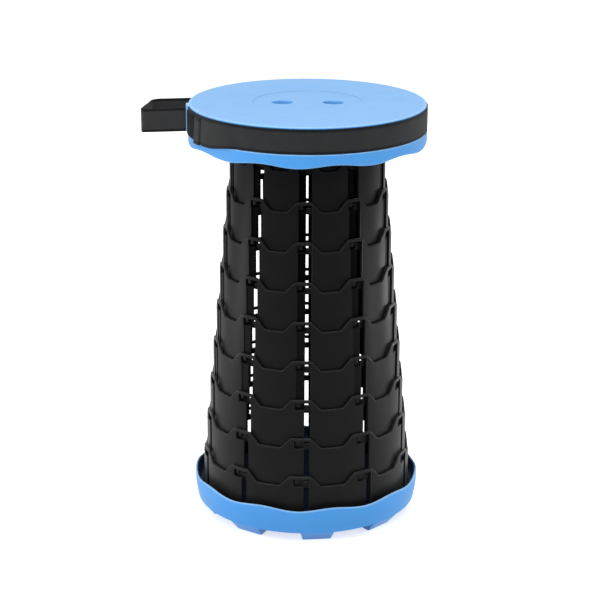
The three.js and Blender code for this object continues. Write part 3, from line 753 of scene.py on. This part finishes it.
# Closed section carried round with the skirt's edge on the waves; the middle is two half discs with oval
# finger holes and their sleeves; ribs and bosses stand under the plate
def makeSeat():
    around = fullTurn(seat["columns"])
    dishTop, under = stool["seatTop"] - seat["dishDepth"], stool["plateUnder"]
    profile = roundCorners(seat["topOutline"], 6)[6:-6]
    profile = np.concatenate([[[seat["dishFoot"], under]], profile, seat["dishEdge"]])
    radius, height = profile.T
    share = ramp(height, seat["waveFrom"], seat["waveFull"])
    parts = [revolve(profile, around, wave(around)[:, None] * share, closed=False)]
    rimAbove, rimWithin = seat["dishRimAt"]
    # Painted highlights on the brow, the skirt's hem, the dish's edge and the ledge under the strap
    rim = np.max([
        ramp(height, *seat["browHeight"]) * ramp(radius, *seat["browRadius"]),
        ramp(height, *seat["hemHeight"]),
        seat["dishRim"] * ((height > rimAbove) & (radius < rimWithin)),
        between(height, *seat["lipHeight"]) & (radius > seat["lipRadius"])], axis=0)
    # Painted shade along the dish's edge
    sunk = between(radius, *seat["dishLine"]) & (height > seat["dishLineAbove"])
    roundness, wall = seat["holeRound"], seat["sleeveWall"]
    foot, edge = seat["sleeveFoot"], seat["sleeveRound"]
    lip = [[0, roundness * (1 - math.sin(t)), dishTop - roundness * (1 - math.cos(t))]
           for t in np.linspace(0, math.pi / 2, 6)]
    rows = [[1, 0, dishTop], [0.55, 0, dishTop], [0.2, roundness, dishTop]] + lip + [
        [0, 0, seat["sleeveMiddle"]], [0, 0, foot + edge], [0, edge, foot], [0, wall - edge, foot],
        [0, wall, foot + edge], [0, wall, under - edge], [0, wall + edge, under], [0.5, wall, under],
        [1, wall, under]]
    half = around[:seat["columns"] // 2 + 1]
    parts += [halfDish(side, half, rows) for side in (1, -1)]
    # Painted light on the finger holes' walls
    holeLightValues = np.interp(np.arange(len(rows)), seat["holeLightRows"], [0, seat["holeLight"], seat["holeLight"], 0])
    holeLightValues = np.tile(holeLightValues, 2 * len(parts[-1][0]) // len(rows))
    boss = revolve(roundCorners(seat["boss"], 3), fullTurn(seat["bossColumns"]))
    for angle in fullTurn(seat["ribCount"]):
        placed = boss[0] + polar(screw["circle"], angle, 0.0)
        parts += [roundedBlock(angle=angle, **seat["rib"]), (placed, boss[1])]
    extra = np.zeros(sum(len(p) for p, _ in parts[3:]))
    parts.append(strapBridge())
    # Painted highlight over the strap bridge
    pale = np.full(len(parts[-1][0]), seat["bridgeHighlight"])
    makePiece("seatShell", parts, "seat", ["seat_shell"], blueSkin, values={
        "rim": np.concatenate([np.tile(rim, seat["columns"]), holeLightValues, extra, pale]),
        "recess": np.tile(sunk * seat["dishShade"], seat["columns"])})


bridge = {
    "from": -87.3, "to": -80.6, "columns": 9,
    "outline": [
        [122.2, 448.7, 0.3], [122.2, 447.5, 0.1], [125.35, 447.5, 0.2], [125.35, 421.8, 0.2],
        [122.2, 421.8, 0.1], [122.2, 419.9, 0.3], [126.7, 419.9, 1.2], [126.7, 448.7, 1.2]],
}


# Narrow strip of the seat's edge outside the strap, joined to the seat above and below it
def strapBridge():
    return arcTube(roundCorners(bridge["outline"], 4), bridge["from"], bridge["to"], bridge["columns"])


makeSeat()
print("seat made")


# Flat band's section: a rectangle with rounded corners
def clothSection(inner, outer, low, high):
    a, b = webbing["innerRound"], webbing["outerRound"]
    return roundCorners([[inner, low, a], [outer, low, b], [outer, high, b], [inner, high, a]], 5)


# UV in metres for each quad's corners: the run along the band, and the height above its middle
def bandUv(run, section):
    height = section[:, 1]
    u, v = run * mm, (height - (height.min() + height.max()) / 2) * mm
    u, v = stacked(u[:-1], u[1:], u[1:], u[:-1]), stacked(v, v, np.roll(v, -1), np.roll(v, -1))
    return stacked(u[:, None], v).reshape(-1, 4, 2)


strap = {
    "low": 422.15, "high": 447.15, "inner": 123.6, "outer": 125.0, "layerInner": 125.3, "layerOuter": 126.7,
    "layerDrop": 2.6, "fold": (-80.4, -66.6), "keeper": (-66.0, -59.6), "columns": 720, "layerColumns": 16,
    "sagOut": 1.7, "sagOutAt": (-66.3, -62.8, -40.0, -34.0),
    "sagDrop": 5.0, "sagDropAt": (-62.8, -58.3, -55.0, -34.5),
    "keeperLean": 1.6, "keeperSag": 2.6, "tuckRun": 1.2, "tuckLeast": 0.25,
}


# Smooth hump of x: s(u) s(w) with s(t) = 3 t^2 - 2 t^3, u rising from a to b and w falling from c to d
def hump(x, a, b, c, d):
    up, down = ramp(x, a, b), ramp(x, d, c)
    return up * up * (3 - 2 * up) * down * down * (3 - 2 * down)


# Closed section carried round the groove. Beside the keeper its lower edge stands out and then hangs down,
# both in proportion to the depth below its upper edge
def makeBand():
    section = clothSection(strap["inner"], strap["outer"], strap["low"], strap["high"])
    angles = fullTurn(strap["columns"])[:, None]
    turned = (angles / degree + 180) % 360 - 180
    depth = (strap["high"] - section[:, 1]) / webbing["width"]
    radius = section[:, 0] + strap["sagOut"] * depth * hump(turned, *strap["sagOutAt"])
    height = section[:, 1] - strap["sagDrop"] * depth * hump(turned, *strap["sagDropAt"])
    part = sheet(polar(radius, angles, height), wrapColumns=True, wrapRows=True)
    uv = bandUv(strap["outer"] * np.linspace(0, 2 * math.pi, strap["columns"] + 1), section)
    makePiece("strapBandWebbing", [part], "seat", ["strap_band"], strapCloth, uv=uv)


# Short outer layer of webbing, a drop below the band, whose ends are tucked in against it. It leans out and
# sags in proportion to the depth below its upper edge
def makeLayer(name, node, cloth, start, end, lean=0.0, sag=0.0):
    low, high = strap["low"] - strap["layerDrop"], strap["high"] - strap["layerDrop"]
    section = clothSection(strap["layerInner"], strap["layerOuter"], low, high)
    count = strap["layerColumns"]
    angles = np.linspace(start, end, count) * degree
    fromEnd = np.minimum(angles - angles[0], angles[-1] - angles) * strap["layerOuter"]
    tuck = np.sqrt(ramp(fromEnd, 0, strap["tuckRun"]))
    share = strap["tuckLeast"] + (1 - strap["tuckLeast"]) * tuck
    depth = strap["layerInner"] + (section[None, :, 0] - strap["layerInner"]) * share[:, None]
    ends = np.pad(np.arange(count), 1, mode="edge")
    below = (high - section[:, 1]) / webbing["width"]
    stack = stacked(depth[ends] + lean * below, section[:, 1] - sag * below)
    stack[[0, -1]] = stack[[0, -1]].mean(axis=1, keepdims=True)
    part = sheet(polar(stack[:, :, 0], angles[ends][:, None], stack[:, :, 1]), wrapRows=True)
    uv = bandUv(ends * (abs(end - start) * degree * strap["layerOuter"] / (count - 1)), section)
    makePiece(name, [part], "seat", [node], cloth, uv=uv)


loop = {
    "reach": 49.0, "near": -4.8, "far": 46.8, "nearCorner": 5.0, "farCorner": 10.0, "slant": 7.0,
    "drop": 4.0, "sag": 1.5, "rimColumns": 24, "sideColumns": 14,
}


# Closed path of the loop in plan: along the rim, out on the near side, round two corners and back
def loopPath(inset):
    base, count = strap["layerInner"] + inset, loop["sideColumns"]
    near, far = loop["near"] + inset, loop["far"] - inset
    left = -(strap["outer"] + loop["reach"]) + inset
    nearCorner, farCorner = loop["nearCorner"] - inset, loop["farCorner"] - inset
    along = np.linspace(-math.acos(-far / base), -math.acos(-near / base), loop["rimColumns"])
    rim = polar(base, along, 0)[:, :2]
    bend = np.linspace(0, math.pi / 2, count)
    first = stacked(left + nearCorner * (1 - np.sin(bend)), near + nearCorner * (1 - np.cos(bend)))
    second = stacked(
        left + loop["slant"] + farCorner * (1 - np.cos(bend)), far - farCorner * (1 - np.sin(bend)))
    line = np.linspace(0, 1, count)[1:-1, None]
    outward = rim[-1] + (first[0] - rim[-1]) * line
    across = first[-1] + (second[0] - first[-1]) * line
    back = second[-1] + (rim[0] - second[-1]) * line
    return np.concatenate([rim, outward, first, across, second, back])


# Flat section carried along the closed path, a drop below the strap that grows towards the free end
def makeLoop():
    outside, inside = loopPath(0.0), loopPath(webbing["thickness"])
    section = clothSection(0, 1, strap["low"], strap["high"])
    across = ramp(section[:, 0], section[:, 0].min(), section[:, 0].max())
    plan = inside[:, None, :] + (outside - inside)[:, None, :] * across[None, :, None]
    out = ramp(-plan[..., 0], strap["outer"], strap["outer"] + loop["reach"])
    points = stacked(plan[..., 0], plan[..., 1], section[:, 1] - loop["drop"] - loop["sag"] * out)
    steps = np.linalg.norm(np.diff(np.vstack([outside, outside[:1]]), axis=0), axis=1)
    uv = bandUv(np.concatenate([[0], np.cumsum(steps)]), section)
    part = sheet(points, wrapColumns=True, wrapRows=True)
    makePiece("handLoopWebbing", [part], "seat", ["hand_loop"], litLoopCloth, uv=uv)


stitch = {
    "foldAngles": (-79.4, -68.0), "keeperAngles": (-64.9, -60.7),
    "pitch": 2.9, "length": 2.2, "thick": 0.55, "fromEdge": 1.2, "flatness": 0.8,
    "along": (-1, -0.75, 0, 0.75, 1), "fat": (0.02, 0.8, 1, 0.8, 0.02), "columns": 6,
}


# Upright row of stitches: one small capsule copied at even heights, on a layer that leans out downwards
def stitchRow(angle, lean):
    radius, pitch = strap["layerOuter"], stitch["pitch"]
    high = strap["high"] - strap["layerDrop"]
    count = int((strap["high"] - strap["low"] - 2 * stitch["fromEdge"]) // pitch)
    heights = strap["low"] - strap["layerDrop"] + stitch["fromEdge"] + pitch * (np.arange(count) + 0.5)
    around = fullTurn(stitch["columns"])
    fat = np.array(stitch["fat"])[:, None] * stitch["thick"] / 2
    z = heights[:, None, None] + np.array(stitch["along"])[:, None] * stitch["length"] / 2
    r = radius + fat * np.sin(around) * stitch["flatness"] + lean * (high - z) / webbing["width"]
    points = polar(r, angle * degree + fat * np.cos(around) / radius, z)
    one, size = gridFaces(*points.shape[1:3], wrapRows=True), points.shape[1] * points.shape[2]
    faces = (one + (np.arange(count) * size)[:, None, None]).reshape(-1, 4)
    return points.reshape(-1, 3), faces


# Upright seams on the fold and on the keeper
def makeStitches():
    parts = [stitchRow(angle, 0.0) for angle in stitch["foldAngles"]]
    parts += [stitchRow(angle, strap["keeperLean"]) for angle in stitch["keeperAngles"]]
    makePiece("strapStitches", parts, "seat", [], threadSkin)


makeBand()
makeLayer("strapFoldWebbing", "strap_fold", shadedFoldCloth, *strap["fold"])
makeLayer("strapKeeperWebbing", "strap_keeper", strapCloth, *strap["keeper"],
          strap["keeperLean"], strap["keeperSag"])
makeLoop()
makeStitches()
print("webbing made")


# Pan heads with a crossed recess on shanks, all from one turned profile
def makeScrews():
    face = screw["headFace"]
    outline = roundCorners(screw["outline"], 5)[5:]
    profile = np.concatenate([[[mark, face] for mark in screw["headMarks"]], outline])
    points, faces = revolve(profile, fullTurn(screw["columns"]))
    across, reach = np.abs(points[:, :2]).min(axis=1), np.hypot(*points.T[:2])
    sunk = (across < screw["crossHalf"]) & (reach < screw["crossReach"])
    sunk &= points[:, 2] < face + screw["faceWithin"]
    points[sunk, 2] += screw["crossDepth"]
    for k, angle in enumerate(fullTurn(screw["count"]), 1):
        placed = points + polar(screw["circle"], angle, 0.0)
        makePiece(f"seatScrew{k}", [(placed, faces)], "seat", [f"seat_screw_{k}"], steelSkin)


makeScrews()
print("screws made")


# Lamps give place and aim beside the rings' axis, side in metres and power in watts
studio = {
    "camera": (-6.78, -1910.26, 850.75), "pitch": 0.3135, "roll": 0.0036, "focal": 1864.77, "pixelShift": 0.5,
    "sensor": 36.0, "pixels": 600, "clipEnd": 50, "worldFill": 0.42, "floorFill": 0.665, "floorHalf": 8.0,
    "floorGrey": (0.8, 0.8, 0.8, 1), "white": (1, 1, 1, 1),
    "lamps": {
        "topSoftbox": ((0, -0.5, 2.2), (0, 0, 0.25), 1.6, 20),
        "frontSoftbox": ((0, -1.2, 1.1), (0, 0, 0.43), 0.6, 4.0),
        "backSoftbox": ((0, 1.9, 0.9), (0, 0, 0.25), 1.2, 9),
        "leftSoftbox": ((-1.7, -0.9, 0.9), (0, 0, 0.25), 1.2, 9.5),
        "rightSoftbox": ((1.7, -0.9, 0.9), (0, 0, 0.25), 1.2, 2.5),
        "leftLowBox": ((-0.7, 0, 0.1), (0, 0, 0.1), 0.18, 0.9),
        "rightLowBox": ((0.7, -0.05, 0.03), (0, 0, 0.03), 0.18, 1.1),
        "rightRearBox": ((0.6, 0.35, 0.08), (0, 0, 0.08), 0.14, 0.5),
    },
}


# Wide pale floor that shows white to the camera and in reflections, and keeps the shadow
def makeStage():
    size = studio["floorHalf"]
    mesh = bpy.data.meshes.new("studioFloor")
    mesh.from_pydata([(x, y, 0) for x, y in ((-size, -size), (size, -size), (size, size), (-size, size))],
                     [], [(0, 1, 2, 3)])
    floor = addObject("studioFloor", mesh)
    material = bpy.data.materials.new("paleFloor")
    material.use_nodes = True
    tree = material.node_tree
    tree.nodes.clear()
    path = addNode(tree, "ShaderNodeLightPath").outputs
    mirrored = calc(tree, "MAXIMUM", path["Is Glossy Ray"], path["Is Transmission Ray"])
    plain = addNode(tree, "ShaderNodeBsdfDiffuse", {"Color": studio["floorGrey"]}).outputs[0]
    glow, bright = (
        addNode(tree, "ShaderNodeEmission", {"Color": studio["white"], "Strength": strength}).outputs[0]
        for strength in (studio["floorFill"], 1.0))
    lit = addNode(tree, "ShaderNodeAddShader", {0: plain, 1: glow}).outputs[0]
    seen = addNode(tree, "ShaderNodeMixShader", {0: path["Is Camera Ray"], 1: plain, 2: lit}).outputs[0]
    pick = addNode(tree, "ShaderNodeMixShader", {0: mirrored, 1: seen, 2: bright}).outputs[0]
    addNode(tree, "ShaderNodeOutputMaterial", {"Surface": pick})
    mesh.materials.append(material)


# White to the camera and in reflections, a softer fill for everything else
def makeWorld():
    world = bpy.data.worlds.new("paleRoom")
    bpy.context.scene.world = world
    world.use_nodes = True
    tree = world.node_tree
    tree.nodes.clear()
    path = addNode(tree, "ShaderNodeLightPath").outputs
    mirrored = calc(tree, "MAXIMUM", path["Is Glossy Ray"], path["Is Transmission Ray"])
    seen = calc(tree, "MAXIMUM", path["Is Camera Ray"], mirrored)
    strength = mixValue(tree, seen, studio["worldFill"], 1.0)
    background = addNode(tree, "ShaderNodeBackground", {"Color": studio["white"], "Strength": strength})
    addNode(tree, "ShaderNodeOutputWorld", {"Surface": background.outputs[0]})


# Square area lamp that looks from its place to its aim
def addLamp(name, place, aim, size, power):
    data = bpy.data.lights.new(name, "AREA")
    data.shape, data.size, data.energy = "SQUARE", size, power
    lamp = addObject(name, data)
    lamp.location = Vector(place) + Vector((axisX, 0, 0))
    lamp.rotation_euler = (Vector(aim) - Vector(place)).to_track_quat("-Z", "Y").to_euler()


# Camera where the photograph's was: pitched down and rolled a little, with its focal length in pixels
def makeCamera():
    data = bpy.data.cameras.new("photoCamera")
    data.sensor_width = studio["sensor"]
    data.lens = studio["focal"] * studio["sensor"] / studio["pixels"]
    shift = studio["pixelShift"] / studio["pixels"]
    data.shift_x, data.shift_y, data.clip_end = -shift, shift, studio["clipEnd"]
    camera = addObject("photoCamera", data)
    x, y, z = studio["camera"]
    turned = Matrix.Rotation(math.pi / 2 - studio["pitch"], 4, "X") @ Matrix.Rotation(studio["roll"], 4, "Z")
    camera.matrix_world = Matrix.Translation((x * mm + axisX, y * mm, z * mm)) @ turned
    bpy.context.scene.camera = camera


makeStage()
makeWorld()
for name, (place, aim, size, power) in studio["lamps"].items():
    addLamp(name, place, aim, size, power)
makeCamera()
bpy.context.scene.view_settings.view_transform = "Standard"
